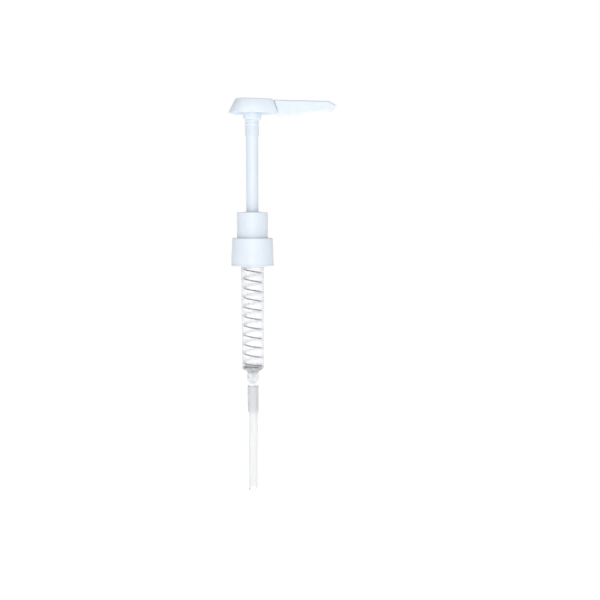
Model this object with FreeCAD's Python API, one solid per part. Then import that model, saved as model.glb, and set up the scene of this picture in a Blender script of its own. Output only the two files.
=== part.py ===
"""Hand pump for a one-gallon condiment jug, with a spring-return piston and two ball valves.

Millimetres, +Z up. The origin is on the pump's axis, on the jug's rim, where the gasket seals.
The spout points along +X. The pump is extended, as it is when nobody presses it.
"""

import FreeCAD, Part
import math
import os

V = FreeCAD.Vector

# ---- Overall sizes ----
STROKE = 91.0            # full travel of the head
DIP_TUBE_REACH = 239.5   # jug rim down to the longest point of the dip tube
SPOUT_REACH = 84.0       # pump axis to the tip of the spout

# ---- Jug neck, 38-400 finish ----
NECK_THREAD_OD = 37.5
NECK_THREAD_DEPTH = 1.2
NECK_PITCH = 25.4 / 6
THREAD_TURNS = 1.25
THREAD_ROOT_WIDTH = 2.0
THREAD_CREST_WIDTH = 0.9
THREAD_SINK = 0.25       # how far a thread's ridge is rooted in its wall

# ---- Closure ----
SKIRT_DEPTH = 8.0        # jug rim down to the closure's lower edge
CLOSURE_RISE = 20.0      # jug rim up to the closure's top
SKIRT_WALL = 2.65        # at the skirt's foot, behind the thread
UPPER_WALL = 2.15        # at the closure's top
DECK = 1.8
FOOT_BEAD = 0.35         # how far the bead round the skirt's foot stands out
FOOT_BEAD_HEIGHT = 1.2
FOOT_BEAD_FADE = 0.6     # height over which the bead runs out into the skirt
THREAD_LEAD_IN = 1.0     # skirt's foot up to the thread
SHOULDER_BEVEL = 1.5     # inside, from the thread's bore to the upper bore
CLOSURE_ROUND = 1.0

# ---- Collar ----
DRUM_STEP = 2.2          # how far the drum at the collar's foot stands out from its neck
COLLAR_RISE = 26.0       # closure top up to the collar's top
COLLAR_WALL = 2.0
COLLAR_ROOF = 2.6
LIP_RING = 0.5           # raised ring round the stem hole
LIP_RING_WIDTH = 1.8
LOCK_SLEEVE = 9.6        # length of the sleeve that holds the lock-down thread
LOCK_SLEEVE_WALL = 1.9
COLLAR_WEB = 1.5
COLLAR_ROUND = 0.8

# ---- Barrel ----
BORE_D = 20.8
BARREL_WALL = 1.2
BARREL_FLANGE = 2.1
FLANGE_OVERHANG = 0.15   # how far the flange stands out past the root of the neck's thread
STUB_WALL = 2.0          # the barrel above its flange
NECK_SPIGOT = 0.3        # step out on the barrel below its flange, which centres the gasket
NECK_SPIGOT_LENGTH = 1.5
STUB_BEAD = 0.6
STUB_BEAD_LENGTH = 1.6
STUB_BEAD_DROP = 3.4     # barrel's rim down to its snap bead
CHAMBER_D = 12.5
CHAMBER_BORE = 9.9
CHAMBER_DEPTH = 11.6      # from the funnel's foot to the chamber's outer foot
CHAMBER_TAPER = 3.3      # fall of the outer taper from chamber to socket
FUNNEL_DROP = 2.0        # fall of the barrel's floor towards the valve chamber
FLOOR_WALL = 1.6
FLOOR_LEDGE = 1.4        # flat ledge round the funnel, which the cage sits on
SHOULDER_ROUND = 4.5
SOCKET_D = 11.4          # socket for the dip tube
SOCKET_LENGTH = 28.0
INLET_BALL_D = 7.94
INLET_HOLE_D = 6.0
INLET_BALL_RISE = 1.5    # chamber's outer foot up to the centre of the seated ball
SOCKET_STEP = 1.6        # the ledge over the dip tube's end
CAGE_FLANGE = 1.2
CAGE_RIM_GAP = 0.3
CAGE_WEB = 1.0
CAGE_WINDOW = 3.6
CAGE_BAR = 1.2
CAGE_BAR_ROOT = 0.2      # how far a bar's ends run into the cage's wall
GASKET = 1.5
GASKET_INSET = 0.1       # how far the gasket's edge lies inside the flange's

# ---- Dip tube ----
DIP_TUBE_D = 9.4
DIP_TUBE_BORE = 6.9
CUT_SLOPE_X = 0.43       # rise of the end cut along +X
CUT_SLOPE_Y = 0.90       # fall of the end cut along +Y

# ---- Spring ----
WIRE_D = 1.15
SPRING_PRESSED = 26.8    # length of the spring when the head is right down
SPRING_PITCH = 9.45
CLOSED_TURNS = 0.75
SPRING_START = -56.0     # heading of the wire's lower end, in degrees from +X
SPRING_EASE = 0.5        # turns over which the pitch opens out
CLOSED_GAP = 0.02        # between the wires of a closed turn
SPRING_POINTS = 16       # points per turn on the wire's centre line

# ---- Piston ----
CORE_HEIGHT = 19.1
CORE_SPIGOT = 11.6       # the part of the core that hangs inside the spring
CORE_FLANGE = 1.4
CORE_WALL = 1.79         # round the stem's foot
CUP_LIP = 0.7
CUP_SLEEVE = 1.1
CUP_WAIST = 0.25
CUP_END_GAP = 0.2        # between the cup's end and the core's
CUP_GROOVE = 0.8         # depth of the groove behind a lip, as a share of the lip's length
OUTLET_BALL_D = 6.35
OUTLET_HOLE_D = 4.6
OUTLET_BALL_RISE = 3.2   # core's foot up to the centre of the seated ball
BALL_STOP = 1.6
BALL_STOP_SEAT = 0.625   # width of the ledge that the ball stop presses onto
BALL_STOP_RING = 1.4
BALL_STOP_BAR = 1.4
BALL_STOP_ROOT = 0.2     # how far the bar's ends run into the ring
BALL_ROOM = 0.8          # radial, round the outlet ball
BALL_LIFT = 2.5

# ---- Stem and hub ----
STEM_D = 12.1
STEM_WALL = 2.05
STEM_STEP = 0.55         # how much narrower, radially, the stem is inside the hub
STEM_SPIGOT_LENGTH = 24.0
STEM_FOOT = 6.1          # length of stem inside the piston core
HUB_SOCKET_RIM = 0.75    # how far the hub's socket stands out from the stem
HUB_ROOT_RIM = 0.6       # how far the lock thread's root stands out from the stem
LOCK_DEPTH = 0.6
BOSS_RIM = 1.75          # how far the boss stands out from the lock thread
HUB_THREAD_LENGTH = 7.8
HUB_SOCKET_LENGTH = 8.2
LOCK_PITCH = 3.2
LOCK_TURNS = 1.75
LOCK_ROOT_WIDTH = 1.9
LOCK_CREST_WIDTH = 0.9
BUSH_SPIGOT = 2.8
BUSH_FLANGE = 1.5
WIPER = 2.2
WIPER_LEDGE = 1.4        # how far the wiper lies inside the barrel's stub
WIPER_CUP = 1.6          # radial depth of the hollow under the wiper's lip
WIPER_LIP = 0.6
WEB_PLAY = 0.8           # radial, between the hub's socket and the collar's web
BOSS_ROUND = 1.0

# ---- Head ----
HEAD_ABOVE_BOSS = 6.1    # boss's lower edge up to the cover's lower edge
CHANNEL_COVER = 2.2      # the channel's top up to the cover's top
COVER_REAR_FOOT = 24.0   # pump axis back to the cover's lower rear edge
COVER_REAR_TOP = 16.3
COVER_HALF_FOOT = 15.4
COVER_HALF_TOP = 12.0
COVER_TOP_FALL = 1.0     # the cover's top falls this much from rear to front
COVER_WALL = 1.5
COVER_TOP_ROUND = 1.6
REAR_RIB = 0.7           # pump axis to each cradle rib, as a share of the channel's rear length
FRONT_RIB = 1.2
SEAM_FOOT = 25.4         # pump axis to the foot of the slanted seam
SEAM_TOP = 20.6
SEAM_GAP = 0.35
SEAM_SIDE = 2.0          # the cover's top corner at the seam, out from the channel's side
SEAM_FLARE = 1.3         # how much wider each side of the seam is at its foot
CHANNEL_D = 10.6
CHANNEL_BORE = 5.4
CHANNEL_REAR = 11.0      # pump axis back to the channel's rear end
PLUG_HEAD = 1.2
PLUG_RIM = 0.4           # how far the plug's head lies inside the channel's outside
PLUG_LENGTH = 5.0
SPOUT_STEP = 0.3         # the spout's side inside the cover's, at the seam
SPOUT_ROOT_X = 34.0      # where the spout's underside starts to rise
SPOUT_TOP_FALL = 1.1     # fall of the spout's top over its length
SPOUT_TOP_STEP = 0.2     # how far the spout's top stands over the channel's
SPOUT_BELOW_COVER = 2.7
CRADLE_RIB = 1.6
SPOUT_ROUND = 1.5
OUTLET_D = 4.6
TIP_WALL = 2.05          # over and under the channel just behind the tip
TIP_LENGTH = 8.0
TIP_FALL = 4.2           # fall of the spout's top over its tip
TIP_BACK = 6.0           # how far the outlet's lower lip stands behind the tip
TIP_HALF = 4.6
TIP_HOOK = 1.2           # how far the outlet's lip hangs below the spout

# ---- Clearances ----
RUNNING = 0.06           # radial, between pieces that turn or slide in each other
FACE_GAP = 0.1           # between faces that pass each other
LOCK_CLEAR = 0.15        # radial, between the crests of the two lock-down threads
THREAD_PLAY = 0.3        # radial, between closure thread and neck thread
CREST_EASE = 0.05        # radial, extra at the closure thread's crest
HOLE_PLAY = 0.2          # radial, between the collar's neck and the closure's hole
SNAP = 0.04              # radial, between pieces that snap together
SEAT_GAP = 0.02          # between a valve ball and its seat or stop
SEAT_ANGLE = math.radians(30)
BALL_PLAY = 0.18         # radial, round the inlet ball
SPRING_PLAY = 1.0        # radial, between spring and bore
SPIGOT_PLAY = 1.65       # radial, between spring and the core's spigot
UPPER_PLAY = 0.45        # radial, between barrel flange and closure
GASKET_PLAY = 0.1        # radial, between gasket and barrel

# ---- Diameters that follow from these ----
THREAD_ROOT_D = NECK_THREAD_OD - 2 * NECK_THREAD_DEPTH
BARREL_FLANGE_D = THREAD_ROOT_D + 2 * FLANGE_OVERHANG
GASKET_D = BARREL_FLANGE_D - 2 * GASKET_INSET
DRUM_D = GASKET_D
COLLAR_D = DRUM_D - 2 * DRUM_STEP
CLOSURE_FOOT_D = NECK_THREAD_OD + 2 * (THREAD_PLAY + SKIRT_WALL)
CLOSURE_UPPER_BORE = BARREL_FLANGE_D + 2 * UPPER_PLAY
CLOSURE_TOP_D = CLOSURE_UPPER_BORE + 2 * UPPER_WALL
BARREL_STUB_D = BORE_D + 2 * STUB_WALL
WIPER_D = BARREL_STUB_D - 2 * WIPER_LEDGE
SPRING_D = BORE_D - 2 * SPRING_PLAY
CORE_SPIGOT_D = SPRING_D - 2 * (WIRE_D + SPIGOT_PLAY)
CORE_NECK_D = STEM_D + 2 * (RUNNING + CORE_WALL)
OUTLET_CHAMBER_D = OUTLET_BALL_D + 2 * BALL_ROOM
BALL_STOP_D = OUTLET_CHAMBER_D + 2 * BALL_STOP_SEAT
STEM_BORE = STEM_D - 2 * STEM_WALL
STEM_SPIGOT_D = STEM_D - 2 * STEM_STEP
HUB_SOCKET_D = STEM_D + 2 * HUB_SOCKET_RIM
HUB_ROOT_D = STEM_D + 2 * HUB_ROOT_RIM
HUB_THREAD_D = HUB_ROOT_D + 2 * LOCK_DEPTH
HUB_BOSS_D = HUB_THREAD_D + 2 * BOSS_RIM
SEAM_HALF_TOP = CHANNEL_D / 2 + SEAM_SIDE
SEAM_HALF_FOOT = SEAM_HALF_TOP + SEAM_FLARE
SPOUT_ROOT_HALF = SEAM_HALF_TOP - SPOUT_STEP
TIP_HEIGHT = CHANNEL_BORE + 2 * TIP_WALL
COVER_HEIGHT = CHANNEL_D + 2 * CHANNEL_COVER
SPRING_LENGTH = STROKE + SPRING_PRESSED

# ---- Levels ----
CLOSURE_TOP = CLOSURE_RISE
DECK_UNDER = CLOSURE_TOP - DECK
DRUM_TOP = DECK_UNDER - FACE_GAP
COLLAR_TOP = CLOSURE_TOP + COLLAR_RISE
FLANGE_TOP = GASKET + BARREL_FLANGE
BARREL_TOP = DECK_UNDER - 2 * FACE_GAP
STUB_BEAD_TOP = BARREL_TOP - STUB_BEAD_DROP
BUSH_TOP = BARREL_TOP + BUSH_FLANGE
WIPER_TOP = BUSH_TOP + WIPER
BOSS_FOOT = COLLAR_TOP + STROKE + FACE_GAP
THREAD_FOOT = BOSS_FOOT - HUB_THREAD_LENGTH
HUB_FOOT = THREAD_FOOT - HUB_SOCKET_LENGTH
COVER_FOOT = BOSS_FOOT + HEAD_ABOVE_BOSS
COVER_TOP = COVER_FOOT + COVER_HEIGHT
CHANNEL_Z = COVER_FOOT + COVER_HEIGHT / 2
SPOUT_TOP = CHANNEL_Z + CHANNEL_D / 2 + SPOUT_TOP_STEP
TIP_TOP = SPOUT_TOP - SPOUT_TOP_FALL
LIP_Z = TIP_TOP - TIP_HEIGHT - TIP_HOOK
SPOUT_FOOT = COVER_FOOT - SPOUT_BELOW_COVER
CORE_TOP = BARREL_TOP - BUSH_SPIGOT - FACE_GAP
CORE_FOOT = CORE_TOP - CORE_HEIGHT
SPRING_TOP = CORE_FOOT + CORE_SPIGOT
CUP_FOOT = SPRING_TOP + CORE_FLANGE
STEM_BOTTOM = CORE_TOP - STEM_FOOT
OUTLET_BALL_Z = CORE_FOOT + OUTLET_BALL_RISE
BALL_STOP_Z = OUTLET_BALL_Z + OUTLET_BALL_D / 2 + BALL_LIFT + SEAT_GAP
SPRING_FOOT = SPRING_TOP - SPRING_LENGTH
FLOOR_TOP = SPRING_FOOT - CAGE_FLANGE
FUNNEL_FOOT = FLOOR_TOP - FUNNEL_DROP
CHAMBER_FOOT = FUNNEL_FOOT - CHAMBER_DEPTH
SOCKET_TOP = CHAMBER_FOOT - CHAMBER_TAPER
DIP_TUBE_TOP = SOCKET_TOP - SOCKET_STEP
INLET_BALL_Z = CHAMBER_FOOT + INLET_BALL_RISE


def turned(points):
    """A solid of revolution about the pump's axis, from (radius, height) points."""
    corners = [V(r, 0, z) for r, z in points]
    outline = Part.makePolygon(corners + corners[:1])
    return Part.Face(outline).revolve(V(0, 0, 0), V(0, 0, 1), 360)


def ring(outer_r, inner_r, low, high):
    """A plain ring between two heights."""
    return turned([(inner_r, low), (outer_r, low), (outer_r, high), (inner_r, high)])


def rod(radius, start, end):
    """A round bar between two points."""
    along = end - start
    return Part.makeCylinder(radius, along.Length, start, along)


def on_level(shape, level, radius):
    """The round edges of a shape that lie at one height and have one radius."""
    found = []
    for edge in shape.Edges:
        if not isinstance(edge.Curve, Part.Circle):
            continue
        centre = edge.Curve.Center
        if abs(centre.z - level) < 1e-4 and abs(edge.Curve.Radius - radius) < 1e-4:
            found.append(edge)
    return found


def rounded(shape, level, radius, size):
    """The shape with its circular edge at this height and radius rounded off."""
    return shape.makeFillet(size, on_level(shape, level, radius))


def thread(root_r, crest_r, foot, pitch, turns, root_width, crest_width):
    """A screw thread's ridge. It runs from root_r to crest_r, inwards or outwards."""
    sink = THREAD_SINK if crest_r > root_r else -THREAD_SINK
    helix = Part.makeHelix(pitch, pitch * turns, root_r)
    low, high = root_width / 2, crest_width / 2
    corners = [
        V(root_r - sink, 0, -low),
        V(crest_r, 0, -high),
        V(crest_r, 0, high),
        V(root_r - sink, 0, low),
    ]
    section = Part.makePolygon(corners + corners[:1])
    ridge = Part.Wire(helix).makePipeShell([section], True, True)
    ridge.translate(V(0, 0, foot + root_width / 2))
    return ridge


def closure():
    """The screw cap: a tapering skirt, a deck with a hole for the collar, and the thread."""
    top_r, foot_r = CLOSURE_TOP_D / 2, CLOSURE_FOOT_D / 2
    hole_r = COLLAR_D / 2 + HOLE_PLAY
    root_r = NECK_THREAD_OD / 2 + THREAD_PLAY
    crest_r = THREAD_ROOT_D / 2 + THREAD_PLAY + CREST_EASE
    upper_r = CLOSURE_UPPER_BORE / 2
    foot = -SKIRT_DEPTH
    bead_top = foot + FOOT_BEAD_HEIGHT
    cap = turned(
        [
            (root_r, foot),
            (foot_r, foot),
            (foot_r, bead_top),
            (foot_r - FOOT_BEAD, bead_top + FOOT_BEAD_FADE),
            (top_r, CLOSURE_TOP),
            (hole_r, CLOSURE_TOP),
            (hole_r, DECK_UNDER),
            (upper_r, DECK_UNDER),
            (upper_r, FLANGE_TOP),
            (root_r, FLANGE_TOP - SHOULDER_BEVEL),
        ]
    )
    cap = rounded(cap, CLOSURE_TOP, top_r, CLOSURE_ROUND)
    ridge = thread(root_r, crest_r, foot + THREAD_LEAD_IN, NECK_PITCH, THREAD_TURNS,
                   THREAD_ROOT_WIDTH, THREAD_CREST_WIDTH)
    return cap.fuse(ridge)


def gasket():
    """The foamed ring that the closure squeezes between barrel flange and jug rim."""
    spigot_r = BORE_D / 2 + BARREL_WALL + NECK_SPIGOT
    return ring(GASKET_D / 2, spigot_r + GASKET_PLAY, 0, GASKET)


def seat(ball_d, hole_r, bore_r, centre):
    """The cone that a ball seats on: its narrow and wide ends, as (radius, height)."""
    ball_r = ball_d / 2
    touch_r = ball_r * math.cos(SEAT_ANGLE)
    touch = centre - ball_r * math.sin(SEAT_ANGLE) - SEAT_GAP
    slope = 1 / math.tan(SEAT_ANGLE)
    narrow = (hole_r, touch - (touch_r - hole_r) * slope)
    wide = (bore_r, touch + (bore_r - touch_r) * slope)
    return narrow, wide


def barrel():
    """The pump cylinder: flange, tube, funnel floor, valve chamber and dip-tube socket."""
    bore_r = BORE_D / 2
    tube_r = bore_r + BARREL_WALL
    stub_r = BARREL_STUB_D / 2
    flange_r = BARREL_FLANGE_D / 2
    chamber_r, chamber_in = CHAMBER_D / 2, CHAMBER_BORE / 2
    socket_r, tube_r_in = SOCKET_D / 2, DIP_TUBE_D / 2
    narrow, wide = seat(INLET_BALL_D, INLET_HOLE_D / 2, chamber_in, INLET_BALL_Z)
    shell = turned(
        [
            (bore_r, BARREL_TOP),
            (stub_r, BARREL_TOP),
            (stub_r, STUB_BEAD_TOP),
            (stub_r + STUB_BEAD, STUB_BEAD_TOP - STUB_BEAD),
            (stub_r, STUB_BEAD_TOP - STUB_BEAD_LENGTH),
            (stub_r, FLANGE_TOP),
            (flange_r, FLANGE_TOP),
            (flange_r, GASKET),
            (tube_r + NECK_SPIGOT, GASKET),
            (tube_r + NECK_SPIGOT, -NECK_SPIGOT_LENGTH),
            (tube_r, -NECK_SPIGOT_LENGTH - NECK_SPIGOT),
            (tube_r, FLOOR_TOP),
            (chamber_r, FUNNEL_FOOT - FLOOR_WALL),
            (chamber_r, CHAMBER_FOOT),
            (socket_r, SOCKET_TOP),
            (socket_r, SOCKET_TOP - SOCKET_LENGTH),
            (tube_r_in, SOCKET_TOP - SOCKET_LENGTH),
            (tube_r_in, DIP_TUBE_TOP),
            (INLET_HOLE_D / 2, DIP_TUBE_TOP),
            narrow,
            wide,
            (chamber_in, FUNNEL_FOOT),
            (bore_r - FLOOR_LEDGE, FLOOR_TOP),
            (bore_r, FLOOR_TOP),
        ]
    )
    return rounded(shell, FLOOR_TOP, tube_r, SHOULDER_ROUND)


def ball_cage():
    """The insert over the valve chamber: a flange, four legs round the ball and a spider."""
    leg_r = CHAMBER_BORE / 2 - SNAP
    guide_r = INLET_BALL_D / 2 + BALL_PLAY
    narrow, wide = seat(INLET_BALL_D, INLET_HOLE_D / 2, CHAMBER_BORE / 2, INLET_BALL_Z)
    foot = wide[1] + FACE_GAP
    throat_r = leg_r + CAGE_WEB
    cage = turned(
        [
            (guide_r, foot),
            (leg_r, foot),
            (leg_r, FUNNEL_FOOT),
            (BORE_D / 2 - FLOOR_LEDGE, FLOOR_TOP),
            (BORE_D / 2 - CAGE_RIM_GAP, FLOOR_TOP),
            (BORE_D / 2 - CAGE_RIM_GAP, SPRING_FOOT),
            (throat_r, SPRING_FOOT),
            (guide_r, FUNNEL_FOOT + CAGE_WEB),
        ]
    )
    spider_foot = INLET_BALL_Z + INLET_BALL_D / 2 + BALL_LIFT + SEAT_GAP
    window = Part.makeBox(CHAMBER_D, CAGE_WINDOW, spider_foot - foot + 1,
                          V(-CHAMBER_D / 2, -CAGE_WINDOW / 2, foot - 1))
    reach = guide_r + CAGE_BAR_ROOT
    bar = Part.makeBox(2 * reach, CAGE_BAR, CAGE_BAR, V(-reach, -CAGE_BAR / 2, spider_foot))
    for turn in (45, 135):
        cage = cage.cut(spun(window, turn))
    for turn in (0, 90):
        cage = cage.fuse(spun(bar, turn))
    return cage


def spun(shape, degrees, at=V(0, 0, 0), about=V(0, 0, 1)):
    """A copy of the shape turned about an axis, by default the pump's own."""
    copy = shape.copy()
    copy.rotate(at, about, degrees)
    return copy


def ball(diameter, centre):
    """A valve ball on the pump's axis."""
    return Part.makeSphere(diameter / 2, V(0, 0, centre))


def dip_tube():
    """The suction tube. Its lower end is cut aslant, so it can't seal against the jug."""
    outer_r = DIP_TUBE_D / 2
    fall = outer_r * math.hypot(CUT_SLOPE_X, CUT_SLOPE_Y)
    tube = ring(outer_r, DIP_TUBE_BORE / 2, -DIP_TUBE_REACH, DIP_TUBE_TOP)
    middle = -DIP_TUBE_REACH + fall
    reach = 2 * outer_r
    corners = []
    for x, y in ((-reach, -reach), (-reach, reach), (reach, reach), (reach, -reach)):
        corners.append(V(x, y, middle + CUT_SLOPE_X * x - CUT_SLOPE_Y * y))
    return tube.cut(prism(corners, V(0, 0, -2 * reach)))


def spring_height(turn):
    """Height of the wire's centre, above the lowest coil's, after this many turns."""
    rate_closed, rate_open = WIRE_D + CLOSED_GAP, SPRING_PITCH
    ease = SPRING_EASE
    height = rate_closed * min(turn, CLOSED_TURNS)
    into = turn - CLOSED_TURNS
    if into > 0:
        step = min(into, ease)
        height += rate_closed * step + (rate_open - rate_closed) * step * step / (2 * ease)
        height += rate_open * max(into - ease, 0)
    return height


def spring_point(turn, turns, rise):
    """A point on the wire's centre line. The coil is left-handed and the same at both ends."""
    radius = (SPRING_D - WIRE_D) / 2
    half = turns / 2
    if turn <= half:
        height = spring_height(turn)
    else:
        height = rise - spring_height(turns - turn)
    angle = math.radians(SPRING_START) - 2 * math.pi * turn
    return V(radius * math.cos(angle), radius * math.sin(angle), height)


def spring():
    """The return spring: open coils between two closed ends, in one wire."""
    rise = SPRING_LENGTH - WIRE_D - SEAT_GAP
    ends = 2 * spring_height(CLOSED_TURNS + SPRING_EASE)
    turns = 2 * (CLOSED_TURNS + SPRING_EASE) + (rise - ends) / SPRING_PITCH
    count = math.ceil(turns * SPRING_POINTS)
    points = [spring_point(turns * n / count, turns, rise) for n in range(count + 1)]
    line = Part.BSplineCurve()
    line.interpolate(points)
    path = Part.Wire(line.toShape())
    start, along = line.value(line.FirstParameter), line.tangent(line.FirstParameter)[0]
    section = Part.Wire(Part.makeCircle(WIRE_D / 2, start, along))
    wire = path.makePipeShell([section], True, True)
    wire.translate(V(0, 0, SPRING_FOOT + WIRE_D / 2))
    return wire


def piston_core():
    """The carrier: spring flange, discharge-valve seat and the socket that the stem turns in."""
    chamber_r = OUTLET_CHAMBER_D / 2
    stem_r = STEM_D / 2 + RUNNING
    narrow, wide = seat(OUTLET_BALL_D, OUTLET_HOLE_D / 2, chamber_r, OUTLET_BALL_Z)
    return turned(
        [
            (OUTLET_HOLE_D / 2, CORE_FOOT),
            (CORE_SPIGOT_D / 2, CORE_FOOT),
            (CORE_SPIGOT_D / 2, SPRING_TOP),
            (SPRING_D / 2, SPRING_TOP),
            (SPRING_D / 2, CUP_FOOT),
            (CORE_NECK_D / 2, CUP_FOOT),
            (CORE_NECK_D / 2, CORE_TOP),
            (stem_r, CORE_TOP),
            (stem_r, STEM_BOTTOM - FACE_GAP),
            (BALL_STOP_D / 2, STEM_BOTTOM - FACE_GAP),
            (BALL_STOP_D / 2, BALL_STOP_Z),
            (chamber_r, BALL_STOP_Z),
            wide,
            narrow,
        ]
    )


def piston_cup():
    """The seal: a sleeve on the core with one lip up and one lip down."""
    sleeve_r = CORE_NECK_D / 2
    lip_r = BORE_D / 2 - RUNNING
    root_r = sleeve_r + CUP_SLEEVE
    top = CORE_TOP - CUP_END_GAP
    lip_foot = CUP_FOOT + CUP_END_GAP
    deep = (top - CUP_FOOT) / 3
    return turned(
        [
            (sleeve_r, CUP_FOOT),
            (root_r, CUP_FOOT),
            (root_r, CUP_FOOT + deep * CUP_GROOVE),
            (lip_r - CUP_LIP, lip_foot),
            (lip_r, lip_foot),
            (lip_r - CUP_WAIST, CUP_FOOT + deep),
            (lip_r - CUP_WAIST, top - deep),
            (lip_r, top),
            (lip_r - CUP_LIP, top),
            (root_r, top - deep * CUP_GROOVE),
            (root_r, top - CUP_END_GAP),
            (sleeve_r, top - CUP_END_GAP),
        ]
    )


def ball_stop():
    """The barred ring over the discharge ball."""
    outer_r = BALL_STOP_D / 2
    hole_r = outer_r - BALL_STOP_RING
    reach = hole_r + BALL_STOP_ROOT
    stop = ring(outer_r, hole_r, BALL_STOP_Z, BALL_STOP_Z + BALL_STOP)
    corner = V(-reach, -BALL_STOP_BAR / 2, BALL_STOP_Z)
    bar = Part.makeBox(2 * reach, BALL_STOP_BAR, BALL_STOP, corner)
    return stop.fuse(bar)


def stem():
    """The hollow stem, with a narrower end that presses into the hub."""
    bore_r = STEM_BORE / 2
    return turned(
        [
            (bore_r, STEM_BOTTOM),
            (STEM_D / 2, STEM_BOTTOM),
            (STEM_D / 2, HUB_FOOT),
            (STEM_SPIGOT_D / 2, HUB_FOOT),
            (STEM_SPIGOT_D / 2, HUB_FOOT + STEM_SPIGOT_LENGTH),
            (bore_r, HUB_FOOT + STEM_SPIGOT_LENGTH),
        ]
    )


def stem_bush():
    """The bush in the barrel's mouth, which guides the stem and stops the piston."""
    hole_r = STEM_D / 2 + RUNNING
    return turned(
        [
            (hole_r, BARREL_TOP - BUSH_SPIGOT),
            (BORE_D / 2, BARREL_TOP - BUSH_SPIGOT),
            (BORE_D / 2, BARREL_TOP),
            (BARREL_STUB_D / 2, BARREL_TOP),
            (BARREL_STUB_D / 2, BUSH_TOP),
            (hole_r, BUSH_TOP),
        ]
    )


def stem_wiper():
    """The soft ring on the bush whose lip wipes the stem."""
    lip_r = STEM_D / 2 + RUNNING
    return turned(
        [
            (lip_r + WIPER_CUP, BUSH_TOP),
            (WIPER_D / 2, BUSH_TOP),
            (WIPER_D / 2, WIPER_TOP),
            (lip_r, WIPER_TOP),
            (lip_r, WIPER_TOP - WIPER_LIP),
        ]
    )


def collar():
    """The lock-down collar: drum on the barrel, neck, roof and the threaded sleeve inside."""
    neck_r = COLLAR_D / 2
    hole_r = HUB_THREAD_D / 2 + LOCK_CLEAR
    sleeve_r = hole_r + LOCK_SLEEVE_WALL
    grip_r = BARREL_STUB_D / 2 + SNAP
    roof_top = COLLAR_TOP - LIP_RING
    web_hole_r = HUB_SOCKET_D / 2 + WEB_PLAY
    body = turned(
        [
            (grip_r, FLANGE_TOP),
            (DRUM_D / 2, FLANGE_TOP),
            (DRUM_D / 2, DRUM_TOP),
            (neck_r, DRUM_TOP),
            (neck_r, roof_top),
            (hole_r + LIP_RING_WIDTH, roof_top),
            (hole_r + LIP_RING_WIDTH, COLLAR_TOP),
            (hole_r, COLLAR_TOP),
            (hole_r, COLLAR_TOP - LOCK_SLEEVE),
            (sleeve_r, COLLAR_TOP - LOCK_SLEEVE),
            (sleeve_r, roof_top - COLLAR_ROOF),
            (neck_r - COLLAR_WALL, roof_top - COLLAR_ROOF),
            (neck_r - COLLAR_WALL, WIPER_TOP + COLLAR_WEB),
            (web_hole_r, WIPER_TOP + COLLAR_WEB),
            (web_hole_r, WIPER_TOP),
            (WIPER_D / 2, WIPER_TOP),
            (WIPER_D / 2, BUSH_TOP),
            (grip_r, BUSH_TOP),
            (grip_r, STUB_BEAD_TOP),
            (grip_r + STUB_BEAD, STUB_BEAD_TOP - STUB_BEAD),
            (grip_r, STUB_BEAD_TOP - STUB_BEAD_LENGTH),
        ]
    )
    body = rounded(body, roof_top, neck_r, COLLAR_ROUND)
    height = LOCK_PITCH * LOCK_TURNS + LOCK_ROOT_WIDTH
    foot = COLLAR_TOP - LOCK_SLEEVE / 2 - height / 2
    groove = thread(hole_r, hole_r + LOCK_DEPTH, foot, LOCK_PITCH, LOCK_TURNS, LOCK_ROOT_WIDTH,
                    LOCK_CREST_WIDTH)
    return body.cut(groove)


def hub():
    """The upright part of the head: boss, lock-down thread and the socket for the stem."""
    blank = turned(
        [
            (0, HUB_FOOT),
            (HUB_SOCKET_D / 2, HUB_FOOT),
            (HUB_SOCKET_D / 2, THREAD_FOOT),
            (HUB_ROOT_D / 2, THREAD_FOOT),
            (HUB_ROOT_D / 2, BOSS_FOOT),
            (HUB_BOSS_D / 2, BOSS_FOOT),
            (HUB_BOSS_D / 2, CHANNEL_Z),
            (0, CHANNEL_Z),
        ]
    )
    blank = rounded(blank, BOSS_FOOT, HUB_BOSS_D / 2, BOSS_ROUND)
    height = LOCK_PITCH * LOCK_TURNS + LOCK_ROOT_WIDTH
    foot = THREAD_FOOT + (HUB_THREAD_LENGTH - height) / 2
    ridge = thread(HUB_ROOT_D / 2, HUB_THREAD_D / 2, foot, LOCK_PITCH, LOCK_TURNS,
                   LOCK_ROOT_WIDTH, LOCK_CREST_WIDTH)
    return blank.fuse(ridge)


def prism(points, along):
    """A closed flat outline pushed along a direction."""
    return Part.Face(Part.makePolygon(points + points[:1])).extrude(along)


def seam_x(level):
    """Where the slanted front of the cover stands at a height."""
    return SEAM_FOOT + (SEAM_TOP - SEAM_FOOT) * (level - COVER_FOOT) / COVER_HEIGHT


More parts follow.
